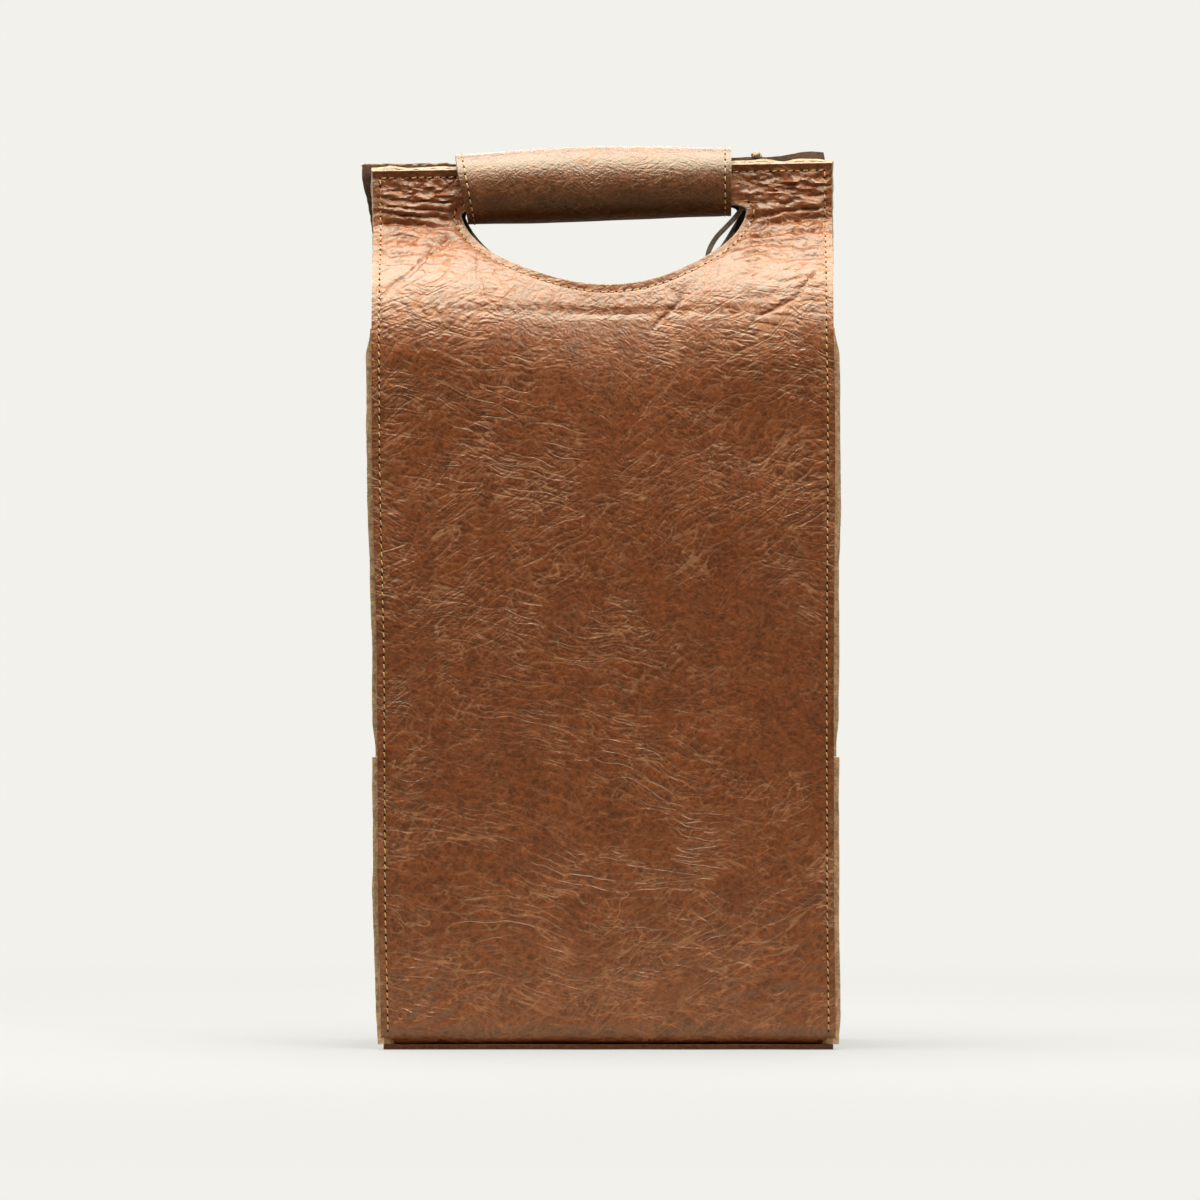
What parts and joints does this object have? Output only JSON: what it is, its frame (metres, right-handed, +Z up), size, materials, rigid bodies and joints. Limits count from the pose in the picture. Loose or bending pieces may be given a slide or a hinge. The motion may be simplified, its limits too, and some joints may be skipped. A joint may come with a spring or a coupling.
{
  "type": "wine bottle case",
  "caption": "Tall upright leather carrying case with a gabled top, half-moon hand holes, a rolled leather handle wrap and a divided inside for wine bottles",
  "frame": {"origin": "on the floor under the middle of the case, at the centre of its outline", "axes": "+Z up, -Y out of the front panel, +X to the right of someone who faces the front panel"},
  "size_m": [0.1925, 0.092, 0.3696],
  "materials": {
    "grain_leather": "pebbled full grain, satin",
    "wrap_leather": "fine grain, satin",
    "gusset_leather": "grain outside, raw cut edges",
    "flesh_leather": "suede-like flesh side, matt",
    "lace_leather": "matt",
    "fibre_board": "matt pressed fibre",
    "plated_steel": "plated"
  },
  "bodies": {
    "case": {"front_panel_lower": "grain_leather", "back_panel_lower": "grain_leather", "cradle": "gusset_leather", "left_gusset": "gusset_leather", "right_gusset": "gusset_leather", "base_board": "fibre_board", "base_liner": "flesh_leather", "divider": "flesh_leather"},
    "front_top": {"front_panel_upper": "grain_leather", "front_facing": "flesh_leather"},
    "back_top": {"back_panel_upper": "grain_leather", "back_facing": "flesh_leather", "wrap_back": "wrap_leather", "snap_plate_left": "plated_steel", "snap_plate_right": "plated_steel", "lace_loop": "lace_leather", "lace_knot": "lace_leather"},
    "flap": {"wrap_flap": "wrap_leather", "snap_magnet_left": "plated_steel", "snap_magnet_right": "plated_steel"}
  },
  "joints": [
    {"name": "front_top_fold", "type": "hinge", "parent": "case", "child": "front_top", "pos_m": [0, -0.046, 0.3], "axis": [1, 0, 0], "range_deg": [0, 20]},
    {"name": "back_top_fold", "type": "hinge", "parent": "case", "child": "back_top", "pos_m": [0, 0.046, 0.3], "axis": [-1, 0, 0], "range_deg": [0, 20]},
    {"name": "wrap_flap_swing", "type": "hinge", "parent": "back_top", "child": "flap", "pos_m": [0, 0, 0.3698], "axis": [-1, 0, 0], "range_deg": [0, 172]}
  ],
  "couplings": [
    {"joint": "front_top_fold", "follows": "wrap_flap_swing", "ratio": 0.115},
    {"joint": "back_top_fold", "follows": "wrap_flap_swing", "ratio": 0.115}
  ]
}
